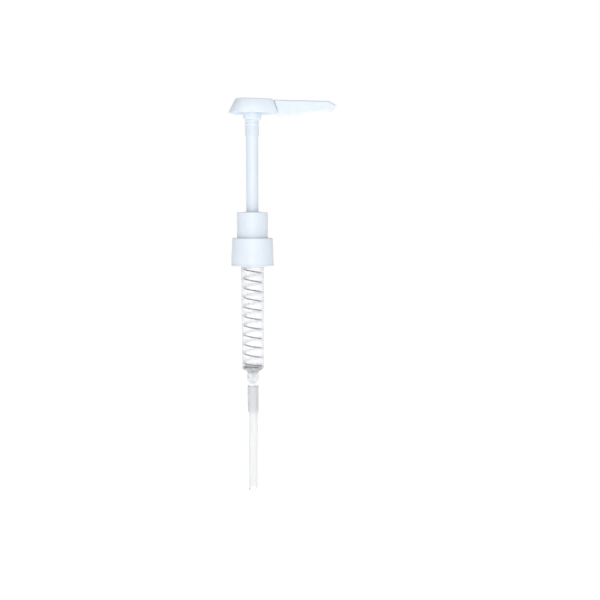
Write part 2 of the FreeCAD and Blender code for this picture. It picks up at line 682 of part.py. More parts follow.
def spout():
    """The spout's outer shape: its side outline, narrowed in plan, with eased edges."""
    lip_x = SPOUT_REACH - TIP_BACK
    tip_x = SPOUT_REACH - TIP_LENGTH
    side = [
        V(seam_x(SPOUT_TOP) + SEAM_GAP, 0, SPOUT_TOP),
        V(tip_x, 0, TIP_TOP),
        V(SPOUT_REACH, 0, TIP_TOP - TIP_FALL),
        V(lip_x, 0, LIP_Z),
        V(tip_x, 0, TIP_TOP - TIP_HEIGHT),
        V(SPOUT_ROOT_X, 0, SPOUT_FOOT),
        V(seam_x(SPOUT_FOOT) + SEAM_GAP, 0, SPOUT_FOOT),
    ]
    wide = 2 * COVER_HALF_FOOT
    blade = prism([p - V(0, wide / 2, 0) for p in side], V(0, wide, 0))
    below = SPOUT_FOOT - COVER_HEIGHT
    plan = [
        V(SEAM_TOP, -SPOUT_ROOT_HALF, below),
        V(SPOUT_REACH, -TIP_HALF, below),
        V(SPOUT_REACH, TIP_HALF, below),
        V(SEAM_TOP, SPOUT_ROOT_HALF, below),
    ]
    blade = blade.common(prism(plan, V(0, 0, 3 * COVER_HEIGHT)))
    long_edges = []
    for edge in blade.Edges:
        start, end = (v.Point for v in edge.Vertexes)
        if abs(end.x - start.x) > SPOUT_ROUND * 3:
            long_edges.append(edge)
    return blade.makeFillet(SPOUT_ROUND, long_edges)


def spout_body():
    """The head's main moulding: hub, level channel and spout, bored through."""
    rear = V(-CHANNEL_REAR, 0, CHANNEL_Z)
    seam = V(SEAM_FOOT + 2, 0, CHANNEL_Z)
    face = V(SPOUT_REACH - TIP_BACK / 2, 0, (TIP_TOP - TIP_FALL + LIP_Z) / 2)
    slope = V(SPOUT_REACH - TIP_BACK, 0, LIP_Z) - V(SPOUT_REACH, 0, TIP_TOP - TIP_FALL)
    out = V(-slope.z, 0, slope.x).normalize()
    bend = face - out * ((CHANNEL_Z - face.z) / -out.z)
    body = hub().fuse(rod(CHANNEL_D / 2, rear, seam)).fuse(spout())
    body = body.cut(rod(CHANNEL_BORE / 2, rear - V(1, 0, 0), bend))
    body = body.cut(Part.makeSphere(OUTLET_D / 2, bend))
    body = body.cut(rod(OUTLET_D / 2, bend, face + out * 2))
    up = V(0, 0, HUB_FOOT - 1)
    body = body.cut(rod(STEM_SPIGOT_D / 2, up, V(0, 0, HUB_FOOT + STEM_SPIGOT_LENGTH)))
    return body.cut(rod(STEM_BORE / 2, up, V(0, 0, CHANNEL_Z)))


def cover_outline(rear, half, front, front_half, level):
    """The press pad's outline: a round back, and sides that close in towards the spout."""
    side_x = half - rear
    across = front - side_x
    centre_y = (across**2 + front_half**2 - half**2) / (2 * (front_half - half))
    radius = half - centre_y
    sweep = math.asin(across / radius) / 2
    middle = (side_x + radius * math.sin(sweep), centre_y + radius * math.cos(sweep))

    def at(x, y):
        return V(x, y, level)

    back = Part.Arc(at(side_x, half), at(-rear, 0), at(side_x, -half)).toShape()
    right = Part.Arc(at(side_x, -half), at(middle[0], -middle[1]), at(front, -front_half))
    left = Part.Arc(at(front, front_half), at(*middle), at(side_x, half))
    nose = Part.makeLine(at(front, -front_half), at(front, front_half))
    return Part.Wire([back, right.toShape(), nose, left.toShape()])


def cover_block(inset, low, high):
    """The press pad's outer shape, drawn in by a wall's thickness, between two heights."""
    wires = []
    for level in (low, high):
        share = (level - COVER_FOOT) / COVER_HEIGHT
        rear = COVER_REAR_FOOT + (COVER_REAR_TOP - COVER_REAR_FOOT) * share
        half = COVER_HALF_FOOT + (COVER_HALF_TOP - COVER_HALF_FOOT) * share
        front_half = SEAM_HALF_FOOT + (SEAM_HALF_TOP - SEAM_HALF_FOOT) * share
        wires.append(
            cover_outline(
                rear - inset, half - inset, seam_x(level) - inset, front_half - inset, level
            )
        )
    return Part.makeLoft(wires, True, True)


def under_slope(level):
    """The space under the cover's sloping top, whose height is given at the pump's axis."""
    reach = 2 * COVER_REAR_FOOT
    fall = COVER_TOP_FALL / (COVER_REAR_TOP + SEAM_TOP)
    points = [V(-reach, -reach, level + fall * reach), V(reach, -reach, level - fall * reach)]
    points += [V(reach, -reach, HUB_FOOT), V(-reach, -reach, HUB_FOOT)]
    return prism(points, V(0, 2 * reach, 0))


def channel_notch(play):
    """The room that the channel takes as the cover is pushed down over it."""
    radius = CHANNEL_D / 2 + play
    length = 2 * COVER_REAR_FOOT
    start = V(-CHANNEL_REAR, 0, CHANNEL_Z)
    slot = Part.makeBox(length, 2 * radius, COVER_HEIGHT,
                        V(-CHANNEL_REAR, -radius, CHANNEL_Z - COVER_HEIGHT))
    return rod(radius, start, start + V(length, 0, 0)).fuse(slot)


def head_cover():
    """The press pad: a hollow shell that snaps down over the channel on two cradle ribs."""
    above = COVER_TOP + 2 * COVER_TOP_FALL
    top_at_axis = COVER_TOP - COVER_TOP_FALL / 2
    outer = cover_block(0, COVER_FOOT, above).common(under_slope(top_at_axis))
    rim = [edge for edge in outer.Edges if edge.BoundBox.ZMin > COVER_TOP - 2.5 * COVER_TOP_FALL]
    outer = outer.makeFillet(COVER_TOP_ROUND, rim)
    hollow = cover_block(COVER_WALL, COVER_FOOT - COVER_WALL, above)
    hollow = hollow.common(under_slope(top_at_axis - COVER_WALL))
    shell = outer.cut(hollow)
    for rib_x in (-CHANNEL_REAR * REAR_RIB, CHANNEL_REAR * FRONT_RIB):
        plate = Part.makeBox(CRADLE_RIB, 2 * COVER_HALF_FOOT, COVER_HEIGHT,
                             V(rib_x, -COVER_HALF_FOOT, CHANNEL_Z + FACE_GAP))
        shell = shell.fuse(plate.common(hollow))
    return shell.cut(channel_notch(SNAP))


def channel_plug():
    """The plug in the rear end of the channel."""
    end = V(-CHANNEL_REAR, 0, CHANNEL_Z)
    button = rod(CHANNEL_D / 2 - PLUG_RIM, end - V(PLUG_HEAD, 0, 0), end)
    return button.fuse(rod(CHANNEL_BORE / 2, end, end + V(PLUG_LENGTH, 0, 0)))


PIECES = {
    "closure": closure,
    "gasket": gasket,
    "barrel": barrel,
    "ball_cage": ball_cage,
    "inlet_ball": lambda: ball(INLET_BALL_D, INLET_BALL_Z),
    "dip_tube": dip_tube,
    "spring": spring,
    "piston_core": piston_core,
    "piston_cup": piston_cup,
    "outlet_ball": lambda: ball(OUTLET_BALL_D, OUTLET_BALL_Z),
    "ball_stop": ball_stop,
    "stem": stem,
    "stem_bush": stem_bush,
    "stem_wiper": stem_wiper,
    "collar": collar,
    "spout_body": spout_body,
    "head_cover": head_cover,
    "channel_plug": channel_plug,
}

if __name__ == "__main__":
    os.makedirs("parts", exist_ok=True)
    for name, make in PIECES.items():
        piece = make()
        solid = piece.Solids[0]
        print(name, len(piece.Solids), solid.isValid(), round(solid.Volume, 1))
        solid.exportStep("parts/" + name + ".step")
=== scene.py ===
"""A hand pump for a condiment jug: its press cover, its return spring, its finishes and its stage."""

import math

import bmesh
import bpy
from bpy.props import FloatProperty, FloatVectorProperty, IntProperty, PointerProperty
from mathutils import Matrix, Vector


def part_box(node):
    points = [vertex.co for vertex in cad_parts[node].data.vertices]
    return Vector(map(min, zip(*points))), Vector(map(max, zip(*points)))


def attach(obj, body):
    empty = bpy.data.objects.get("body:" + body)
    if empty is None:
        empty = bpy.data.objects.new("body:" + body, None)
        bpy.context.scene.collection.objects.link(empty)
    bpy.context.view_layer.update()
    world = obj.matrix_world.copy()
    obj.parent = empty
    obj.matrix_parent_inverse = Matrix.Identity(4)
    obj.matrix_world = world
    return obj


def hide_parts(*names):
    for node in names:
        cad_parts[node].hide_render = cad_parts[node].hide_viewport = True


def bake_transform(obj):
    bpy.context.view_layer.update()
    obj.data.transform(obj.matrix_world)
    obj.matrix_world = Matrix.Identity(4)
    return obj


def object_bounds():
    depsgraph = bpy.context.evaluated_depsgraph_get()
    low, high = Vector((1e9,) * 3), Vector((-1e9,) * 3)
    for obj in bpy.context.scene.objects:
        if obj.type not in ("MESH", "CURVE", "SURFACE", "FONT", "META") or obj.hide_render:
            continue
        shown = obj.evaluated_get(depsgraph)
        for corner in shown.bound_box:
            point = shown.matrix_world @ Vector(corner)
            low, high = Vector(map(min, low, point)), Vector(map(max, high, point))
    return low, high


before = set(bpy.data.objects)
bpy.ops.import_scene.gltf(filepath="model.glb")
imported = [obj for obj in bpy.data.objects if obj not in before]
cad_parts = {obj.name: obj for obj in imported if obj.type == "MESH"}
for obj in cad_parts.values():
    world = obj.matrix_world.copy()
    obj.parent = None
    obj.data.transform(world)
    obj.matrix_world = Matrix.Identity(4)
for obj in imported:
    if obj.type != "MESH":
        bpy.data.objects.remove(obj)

bl_info = {
    "name": "Condiment Pump",
    "version": (1, 0, 0),
    "blender": (4, 5, 0),
    "location": "3D View > Sidebar > Pump",
    "description": "Models and finishes a hand pump for a condiment jug, and sets it in a studio",
    "category": "Object",
}

CAD_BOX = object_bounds()
MM = 0.001

COVER_SIDES = 120                        # faces round the press cover
CHANNEL_SIDES = 64                       # faces round the room for the channel
CHANNEL_REAR = -11.0 * MM                # where the room for the channel starts, along X
RIB_PLACES = (-6.9 * MM, 14.0 * MM)      # middle of each rib that rides on the channel
HOLLOW_ROUND = 0.5 * MM                  # round inside the cover's top edge
HOLLOW_DROP = 2.0 * MM                   # how far the hollow block reaches out of the cover's mouth
EDGE_ROUND = 0.2 * MM                    # round on the cover's sharp edges
SKIN = 0.02 * MM                         # how close to a plane a point has to lie to be on it
WELD = 0.005 * MM                        # points closer together than this become one

HAZY_IOR = 1.27                          # low, because the haze hides most of the bending
CLEAR_IOR = 1.4
POLYPROPYLENE_IOR = 1.49
GLASS_IOR = 1.52

CROWN_CENTRE = 0.45                      # as a share of the top's length, from the rear
# Rise of each step of the crown, as a share of the whole, and how much smaller each step is
CROWN_STEPS = ((0.30, 0.88), (0.26, 0.84), (0.20, 0.78), (0.15, 0.66), (0.09, 0.45))

CAMERA_PLACE = (0.0476, -1.0039, 0.0366)
CAMERA_TILT = math.radians(4.5)          # downwards
FILM_WIDTH = 36                          # in millimetres, as the lens is
FLOOR_GAP = 0.5 * MM                     # between the dip tube's end and the floor
AIM = (0, 0, -0.04)                      # what every lamp points at
KEY_PLACE, KEY_WIDTH = (0.05, -1.6, 0.3), 0.9
TOP_PLACE, TOP_WIDTH = (0.0, 0.1, 1.6), 1.6
BACK_PLACE, BACK_WIDTH = (-0.4, 1.5, 0.7), 1.4

# How far off the middle the studio's light starts to fall and stops falling, as a slope of the ray
SIDE_FALL = (0.15, 0.8)
TOP_FALL = (0.05, 0.7)
TOP_LIGHT = 0.5                          # what is left of it overhead


# ---------------------------------------------------------------------------
# Sizes and colours
# ---------------------------------------------------------------------------


class PumpFinishes(bpy.types.PropertyGroup):
    """Colours of the pump's materials."""

    white: FloatVectorProperty(
        name="White",
        description="Moulded white plastic of head, stem, collar and closure",
        subtype="COLOR",
        default=(0.80, 0.87, 0.95),
        min=0,
        max=1,
    )
    natural: FloatVectorProperty(
        name="Natural",
        description="Unpigmented plastic of barrel and dip tube",
        subtype="COLOR",
        default=(0.985, 0.99, 1.0),
        min=0,
        max=1,
    )
    wire: FloatVectorProperty(
        name="Wire",
        description="Spring wire",
        subtype="COLOR",
        default=(0.26, 0.26, 0.28),
        min=0,
        max=1,
    )
    balls: FloatVectorProperty(
        name="Balls",
        description="Glass valve balls",
        subtype="COLOR",
        default=(0.93, 0.98, 0.97),
        min=0,
        max=1,
    )
    foam: FloatVectorProperty(
        name="Foam",
        description="Foamed gasket",
        subtype="COLOR",
        default=(0.86, 0.87, 0.88),
        min=0,
        max=1,
    )


class CoverSizes(bpy.types.PropertyGroup):
    """The press cover, where it differs from a plain block between its CAD corners."""

    top_width: FloatProperty(
        name="Top Width",
        description="Width across the cover's top",
        subtype="DISTANCE",
        unit="LENGTH",
        default=24.0 * MM,
        precision=4,
    )
    top_rear: FloatProperty(
        name="Top Rear",
        description="How far the top's rear edge stands in front of the foot's",
        subtype="DISTANCE",
        unit="LENGTH",
        default=7.7 * MM,
        precision=4,
    )
    nose_lean: FloatProperty(
        name="Nose Lean",
        description="How far the seam's top stands behind its foot",
        subtype="DISTANCE",
        unit="LENGTH",
        default=4.8 * MM,
        precision=4,
    )
    nose_stretch: FloatProperty(
        name="Nose Stretch",
        description="Length of the front of the outline for each unit of its half width",
        default=2.66,
    )
    wall: FloatProperty(
        name="Wall",
        description="Thickness of the moulding",
        subtype="DISTANCE",
        unit="LENGTH",
        default=1.5 * MM,
        precision=4,
    )
    round: FloatProperty(
        name="Top Round",
        description="Rounding of the top's edge",
        subtype="DISTANCE",
        unit="LENGTH",
        default=1.25 * MM,
        precision=4,
    )
    crown: FloatProperty(
        name="Crown",
        description="How far the middle of the top rises over its edge",
        subtype="DISTANCE",
        unit="LENGTH",
        default=0.3 * MM,
        precision=4,
    )
    top_fall: FloatProperty(
        name="Top Fall",
        description="Fall of the top from its rear edge to the seam",
        subtype="DISTANCE",
        unit="LENGTH",
        default=1.0 * MM,
        precision=4,
    )
    rib: FloatProperty(
        name="Rib",
        description="Thickness of each rib that rides on the channel",
        subtype="DISTANCE",
        unit="LENGTH",
        default=1.6 * MM,
        precision=4,
    )
    channel: FloatProperty(
        name="Channel Room",
        description="Width of the room for the channel",
        subtype="DISTANCE",
        unit="LENGTH",
        default=10.7 * MM,
        precision=4,
    )


class SpringSizes(bpy.types.PropertyGroup):
    """How the return spring is wound, left-handed."""

    wire: FloatProperty(
        name="Wire",
        description="Diameter of the wire",
        subtype="DISTANCE",
        unit="LENGTH",
        default=1.15 * MM,
        precision=5,
    )
    pitch: FloatProperty(
        name="Pitch",
        description="Rise of one open turn",
        subtype="DISTANCE",
        unit="LENGTH",
        default=9.45 * MM,
        precision=5,
    )
    gap: FloatProperty(
        name="Closed Gap",
        description="Space between the wires of a closed turn",
        subtype="DISTANCE",
        unit="LENGTH",
        default=0.02 * MM,
        precision=6,
    )
    closed: FloatProperty(
        name="Closed Turns",
        description="Turns that lie on each other at each end",
        default=0.75,
    )
    ease: FloatProperty(
        name="Ease",
        description="Turns over which the pitch opens out",
        default=0.5,
    )
    start: FloatProperty(
        name="Start",
        description="Heading of the wire's lower end",
        subtype="ANGLE",
        default=math.radians(-56),
    )
    sides: IntProperty(
        name="Sides",
        description="Faces round the wire",
        default=14,
    )
    steps: IntProperty(
        name="Steps",
        description="Faces along one turn",
        default=60,
    )


class StageSizes(bpy.types.PropertyGroup):
    """The studio: floor, lamps and camera."""

    floor: FloatProperty(
        name="Floor",
        description="Width of the floor",
        subtype="DISTANCE",
        unit="LENGTH",
        default=12.0,
    )
    key: FloatProperty(
        name="Key Lamp",
        description="Power of the large lamp beside the camera",
        unit="POWER",
        default=6.2,
    )
    fill: FloatProperty(
        name="Top Lamp",
        description="Power of the lamp overhead",
        unit="POWER",
        default=1.9,
    )
    back: FloatProperty(
        name="Back Lamp",
        description="Power of the lamp behind, which only lightens the pump's back",
        unit="POWER",
        default=5.0,
    )
    glow: FloatProperty(
        name="Floor Glow",
        description="Brightness of the light table that the floor is laid on",
        default=0.64,
    )
    surround: FloatProperty(
        name="Surround",
        description="Brightness of the studio's dim sides",
        default=0.42,
    )
    lens: FloatProperty(
        name="Lens",
        description="Focal length in millimetres",
        default=60.0,
    )


# ---------------------------------------------------------------------------
# Modelling helpers
# ---------------------------------------------------------------------------


def start_piece():
    """Leave nothing selected, so that the next primitive is on its own."""
    if bpy.context.object and bpy.context.object.mode != "OBJECT":
        bpy.ops.object.mode_set(mode="OBJECT")
    bpy.ops.object.select_all(action="DESELECT")


def named(name):
    """Name the primitive just added, and put its place into its mesh."""
    piece = bpy.context.object
    piece.name = name
    piece.data.name = name
    bpy.ops.object.transform_apply(location=True, rotation=True, scale=True)
    return piece


def apply_modifier(piece, kind, **settings):
    """Add a modifier with these settings and apply it."""
    bpy.context.view_layer.objects.active = piece
    modifier = piece.modifiers.new(kind.title(), kind)
    for key, value in settings.items():
        setattr(modifier, key, value)
    bpy.ops.object.modifier_apply(modifier=modifier.name)


def pick(piece, kind, test):
    """Select the faces, edges or verts of the piece in edit mode whose centre passes the test."""
    mesh = bmesh.from_edit_mesh(piece.data)
    for group in (mesh.faces, mesh.edges, mesh.verts):
        for part in group:
            part.select = False
    for part in getattr(mesh, kind):
        if kind == "verts":
            chosen = test(part.co)
        elif kind == "faces":
            chosen = test(part.calc_center_median(), part.normal)
        else:
            chosen = test(part.verts[0].co, part.verts[1].co)
        if chosen:
            part.select_set(True)
    mesh.select_flush_mode()
    bmesh.update_edit_mesh(piece.data)


def edit(mode="VERT"):
    """Go into edit mode, selecting verts, edges or faces."""
    bpy.ops.object.mode_set(mode="EDIT")
    bpy.ops.mesh.select_mode(type=mode)


def edit_faces(piece, test):
    """Go into edit mode on a piece and select the faces whose place and normal pass the test."""
    bpy.context.view_layer.objects.active = piece
    piece.select_set(True)
    edit("FACE")
    pick(piece, "faces", test)


def finish_piece(piece, material, body, slot, *nodes, angle=35):
    """Shade a piece, give it its finish and fix it to its body."""
    bpy.ops.object.mode_set(mode="OBJECT")
    bpy.context.view_layer.objects.active = piece
    piece.select_set(True)
    bpy.ops.object.shade_smooth_by_angle(angle=math.radians(angle))
    piece.data.materials.clear()
    piece.data.materials.append(material)
    if body:
        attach(piece, body)
    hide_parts(*nodes)


# ---------------------------------------------------------------------------
# Materials
# ---------------------------------------------------------------------------


class Finish:
    """A material's node tree, with short ways to add the nodes that a finish needs."""

    def __init__(self, name):
        self.material = bpy.data.materials.new(name)
        self.material.use_nodes = True
        self.tree = self.material.node_tree
        self.shader = self.tree.nodes["Principled BSDF"]
        self.place = self.add("ShaderNodeTexCoord").outputs["Object"]

    def add(self, kind, **settings):
        node = self.tree.nodes.new(kind)
        for key, value in settings.items():
            setattr(node, key, value)
        return node

    def link(self, source, target):
        self.tree.links.new(source, target)

    def set(self, **values):
        for key, value in values.items():
            self.shader.inputs[key.replace("_", " ")].default_value = value

    def stretched(self, scale):
        """Object coordinates scaled differently along each axis."""
        mapping = self.add("ShaderNodeMapping")
        mapping.inputs["Scale"].default_value = scale
        self.link(self.place, mapping.inputs["Vector"])
        return mapping.outputs["Vector"]

    def noise(self, scale, detail=2.0, rough=0.5, place=None):
        """Smooth random values of a given scale per metre."""
        node = self.add("ShaderNodeTexNoise")
        node.inputs["Scale"].default_value = scale
        node.inputs["Detail"].default_value = detail
        node.inputs["Roughness"].default_value = rough
        self.link(place or self.place, node.inputs["Vector"])
        return node.outputs["Fac"]

    def between(self, value, low, high, start=0.3, stop=0.7):
        """A value mapped from start..stop to low..high."""
        node = self.add("ShaderNodeMapRange")
        node.inputs["From Min"].default_value = start
        node.inputs["From Max"].default_value = stop
        node.inputs["To Min"].default_value = low
        node.inputs["To Max"].default_value = high
        self.link(value, node.inputs["Value"])
        return node.outputs["Result"]

    def shades(self, value, *stops):
        """A colour ramp of (place, colour) stops over a value."""
        node = self.add("ShaderNodeValToRGB")
        ramp = node.color_ramp
        while len(ramp.elements) < len(stops):
            ramp.elements.new(0.5)
        for element, (place, colour) in zip(ramp.elements, stops):
            element.position = place
            element.color = (*colour, 1)
        self.link(value, node.inputs["Fac"])
        return node.outputs["Color"]

    def bump(self, height, depth, under=None):
        """A bump of this depth in metres, over another bump if one is given."""
        node = self.add("ShaderNodeBump")
        node.inputs["Distance"].default_value = depth
        self.link(height, node.inputs["Height"])
        if under:
            self.link(under, node.inputs["Normal"])
        return node.outputs["Normal"]


def tinted(colour, share):
    """The colour multiplied by a share."""
    return tuple(channel * share for channel in colour)


def moulded_plastic(name, colour, rough, grain=0.003):
    """Satin polypropylene: faint flow marks, fine mould grain and a little light inside it."""
    finish = Finish(name)
    flow = finish.noise(1.0, 3.0, 0.6, finish.stretched((140, 140, 45)))
    finish.link(
        finish.shades(flow, (0.35, tinted(colour, 0.975)), (0.65, colour)),
        finish.shader.inputs["Base Color"],
    )
    grains = finish.noise(5200, 2.0)
    finish.link(finish.between(grains, rough - 0.05, rough + 0.05), finish.shader.inputs["Roughness"])
    soft = finish.bump(flow, 0.015 * MM)
    finish.link(finish.bump(grains, grain * MM, under=soft), finish.shader.inputs["Normal"])
    finish.set(IOR=POLYPROPYLENE_IOR, Subsurface_Weight=0.12, Subsurface_Scale=1.2 * MM)
    finish.shader.inputs["Subsurface Radius"].default_value = (1.0, 0.9, 0.8)
    return finish.material


def natural_plastic(name, colour, rough, see_through, ior=HAZY_IOR):
    """Unpigmented polypropylene, hazy, with draw lines along its length."""
    finish = Finish(name)
    haze = finish.noise(1.0, 3.0, 0.6, finish.stretched((260, 260, 30)))
    finish.link(
        finish.shades(haze, (0.3, tinted(colour, 0.98)), (0.7, colour)),
        finish.shader.inputs["Base Color"],
    )
    finish.link(finish.between(haze, rough - 0.03, rough + 0.03), finish.shader.inputs["Roughness"])
    finish.link(finish.bump(haze, 0.03 * MM), finish.shader.inputs["Normal"])
    finish.set(IOR=ior, Transmission_Weight=see_through)
    return finish.material


def steel(name, colour, rough, marks):
    """Steel with drawing or polishing marks, this many per metre."""
    finish = Finish(name)
    lines = finish.noise(marks, 4.0, 0.65)
    finish.link(
        finish.shades(lines, (0.3, tinted(colour, 0.75)), (0.7, colour)),
        finish.shader.inputs["Base Color"],
    )
    finish.link(finish.between(lines, rough - 0.06, rough + 0.08), finish.shader.inputs["Roughness"])
    finish.link(finish.bump(lines, 0.01 * MM), finish.shader.inputs["Normal"])
    finish.set(Metallic=1.0)
    return finish.material


def foam(name, colour):
    """Closed-cell foam, with its cells showing on the cut edge."""
    finish = Finish(name)
    cells = finish.add("ShaderNodeTexVoronoi")
    cells.inputs["Scale"].default_value = 3200
    finish.link(finish.place, cells.inputs["Vector"])
    finish.link(
        finish.shades(cells.outputs["Distance"], (0.0, tinted(colour, 0.85)), (0.6, colour)),
        finish.shader.inputs["Base Color"],
    )
    finish.link(finish.bump(cells.outputs["Distance"], 0.08 * MM), finish.shader.inputs["Normal"])
    finish.set(Roughness=0.8, IOR=1.4)
    return finish.material


def seal(name, colour):
    """Soft moulded seal, slightly waxy."""
    finish = Finish(name)
    bloom = finish.noise(900, 3.0)
    finish.link(
        finish.shades(bloom, (0.35, tinted(colour, 0.93)), (0.65, colour)),
        finish.shader.inputs["Base Color"],
    )
    finish.link(finish.between(bloom, 0.42, 0.55), finish.shader.inputs["Roughness"])
    finish.link(finish.bump(bloom, 0.02 * MM), finish.shader.inputs["Normal"])
    finish.set(IOR=1.43, Subsurface_Weight=0.1, Subsurface_Scale=0.8 * MM)
    return finish.material


def glass(name, colour):
    """Clear glass with a slight ripple in its polish."""
    finish = Finish(name)
    ripple = finish.noise(700, 2.0)
    finish.link(
        finish.shades(ripple, (0.2, tinted(colour, 0.97)), (0.8, colour)),
        finish.shader.inputs["Base Color"],
    )
    finish.link(finish.between(ripple, 0.02, 0.08), finish.shader.inputs["Roughness"])
    finish.link(finish.bump(ripple, 0.005 * MM), finish.shader.inputs["Normal"])
    finish.set(IOR=GLASS_IOR, Transmission_Weight=1.0)
    return finish.material


def assign(material, *nodes):
    """Give CAD nodes a finish."""
    for node in nodes:
        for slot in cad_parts[node].material_slots:
            slot.material = material


# ---------------------------------------------------------------------------
# Pieces
# ---------------------------------------------------------------------------


class PUMP_OT_white_mouldings(bpy.types.Operator):
    """Give the white mouldings their satin finish"""

    bl_idname = "pump.white_mouldings"
    bl_label = "White Mouldings"

    def execute(self, context):
        white = tuple(context.scene.pump_finishes.white)
        # The spout and channel plug take the cover's white darkened to 95 %: painted shade that tones
        # down the key lamp on the spout's upright face. The plastic is the same as the cover's.
        assign(moulded_plastic("head_plastic", tinted(white, 0.95), 0.34),
               "spout_body", "channel_plug", "head_cover")
        assign(moulded_plastic("collar_plastic", tinted(white, 0.985), 0.38), "collar")
        assign(moulded_plastic("closure_plastic", white, 0.36), "closure")
        assign(moulded_plastic("stem_plastic", tinted(white, 0.99), 0.30, 0.002), "stem")
        assign(moulded_plastic("bush_plastic", tinted(white, 0.97), 0.42), "stem_bush", "piston_core")
        return {"FINISHED"}


def cover_block(name, sizes, inset, top_round, crown):
    """A closed block in the press cover's outer shape, drawn in by a wall's thickness."""
    low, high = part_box("head_cover")
    height = high.z - low.z
    half = high.y - inset
    top_half = sizes.top_width / 2 - inset
    back = Vector((low.x + high.y, 0, low.z))
    top_rear = low.x + sizes.top_rear
    top_back = Vector((top_rear + sizes.top_width / 2, 0, high.z))
    top_length = high.x - top_rear
    edge_top = high.z - sizes.crown - inset
    slope = Vector((sizes.top_fall, 0, top_length)).normalized()
    lean = Vector((height, 0, sizes.nose_lean)).normalized()

    start_piece()
    bpy.ops.mesh.primitive_circle_add(
        vertices=COVER_SIDES, radius=half, fill_type="NGON", location=back,
    )
    piece = named(name)
    edit("VERT")
    pick(piece, "verts", lambda at: at.x > back.x + SKIN)
    bpy.ops.transform.resize(value=(sizes.nose_stretch, 1, 1), center_override=back)
    bpy.ops.mesh.select_all(action="SELECT")
    bpy.ops.mesh.extrude_region_move(TRANSFORM_OT_translate={"value": top_back - back})
    shrink = top_half / half
    bpy.ops.transform.resize(value=(shrink, shrink, 1), center_override=top_back)
    for place, normal in (((high.x - inset, 0, low.z), lean), ((top_rear, 0, edge_top), slope)):
        bpy.ops.mesh.select_all(action="SELECT")
        bpy.ops.mesh.bisect(plane_co=place, plane_no=normal, use_fill=True, clear_outer=True)
    bpy.ops.mesh.select_all(action="SELECT")
    bpy.ops.mesh.normals_make_consistent(inside=False)

    def on_top(at):
        return at.z > edge_top - sizes.top_fall * (at.x - top_rear) / top_length - SKIN

    bpy.ops.mesh.select_mode(type="EDGE")
    pick(piece, "edges", lambda a, b: on_top(a) and on_top(b))
    bpy.ops.mesh.bevel(offset=top_round, segments=6, affect="EDGES")
    if crown:
        edit_faces(piece, lambda at, way: way.z > 0.999)
        middle = (top_rear + top_length * CROWN_CENTRE, 0, edge_top)
        for rise, shrunk in CROWN_STEPS:
            bpy.ops.mesh.extrude_region_move(
                TRANSFORM_OT_translate={"value": (0, 0, rise * sizes.crown)},
            )
            bpy.ops.transform.resize(value=(shrunk, shrunk, 1), center_override=middle)
    bpy.ops.mesh.select_all(action="SELECT")
    bpy.ops.mesh.remove_doubles(threshold=WELD)
    bpy.ops.object.mode_set(mode="OBJECT")
    return piece


def cut_away(piece, tool):
    """Cut a tool's shape out of a piece, and throw the tool away."""
    apply_modifier(piece, "BOOLEAN", operation="DIFFERENCE", object=tool, solver="EXACT")
    bpy.data.objects.remove(tool)


class PUMP_OT_press_cover(bpy.types.Operator):
    """Model the hollow press cover, with its two cradle ribs and the room for the channel"""

    bl_idname = "pump.press_cover"
    bl_label = "Press Cover"

    def execute(self, context):
        sizes = context.scene.pump_cover
        low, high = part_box("head_cover")
        height = high.z - low.z
        plug_low, plug_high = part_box("channel_plug")
        channel_z = (plug_low.z + plug_high.z) / 2
        piece = cover_block("press_cover", sizes, 0, sizes.round, True)

        hollow = cover_block("hollow", sizes, sizes.wall, HOLLOW_ROUND, False)
        edit_faces(hollow, lambda at, way: at.z < low.z + SKIN)
        bpy.ops.mesh.extrude_region_move(TRANSFORM_OT_translate={"value": (0, 0, -HOLLOW_DROP)})
        for place in RIB_PLACES:
            start_piece()
            bpy.ops.mesh.primitive_cube_add(
                size=1, location=(place, 0, channel_z + height / 2),
                scale=(sizes.rib, 4 * high.y, height),
            )
            cut_away(hollow, named("rib_room"))
        cut_away(piece, hollow)

        start_piece()
        length = 3 * high.y
        bpy.ops.mesh.primitive_cylinder_add(
            vertices=CHANNEL_SIDES, radius=sizes.channel / 2, depth=length,
            location=(CHANNEL_REAR + length / 2, 0, channel_z), rotation=(0, math.radians(90), 0),
        )
        room = named("channel_room")
        edit_faces(room, lambda at, way: way.z < -0.02 and abs(way.x) < 0.5)
        bpy.ops.mesh.extrude_region_move(TRANSFORM_OT_translate={"value": (0, 0, -height)})
        bpy.ops.object.mode_set(mode="OBJECT")
        cut_away(piece, room)
        apply_modifier(piece, "BEVEL", width=EDGE_ROUND, segments=2, limit_method="ANGLE",
                       angle_limit=math.radians(50))
        white = tuple(context.scene.pump_finishes.white)
        finish_piece(piece, moulded_plastic("cover_plastic", white, 0.34), "head", "head_white",
                     "head_cover", angle=40)
        return {"FINISHED"}


class PUMP_OT_clear_mouldings(bpy.types.Operator):
    """Give barrel, dip tube and the valve inserts their hazy finish"""

    bl_idname = "pump.clear_mouldings"
    bl_label = "Clear Mouldings"

    def execute(self, context):
        natural = tuple(context.scene.pump_finishes.natural)
        assign(natural_plastic("barrel_plastic", natural, 0.46, 1.0), "barrel")
        assign(natural_plastic("tube_plastic", tinted(natural, 0.975), 0.3, 0.9, CLEAR_IOR), "dip_tube")
        assign(natural_plastic("insert_plastic", tinted(natural, 0.98), 0.35, 0.8),
               "ball_cage", "ball_stop")
        return {"FINISHED"}


class PUMP_OT_seals(bpy.types.Operator):
    """Give the gasket, the piston cup and the wiper their finishes"""

    bl_idname = "pump.seals"
    bl_label = "Seals"

    def execute(self, context):
        finishes = context.scene.pump_finishes
        assign(foam("gasket_foam_cells", tuple(finishes.foam)), "gasket")
        assign(seal("seal_plastic", tinted(tuple(finishes.white), 0.97)), "piston_cup", "stem_wiper")
        return {"FINISHED"}


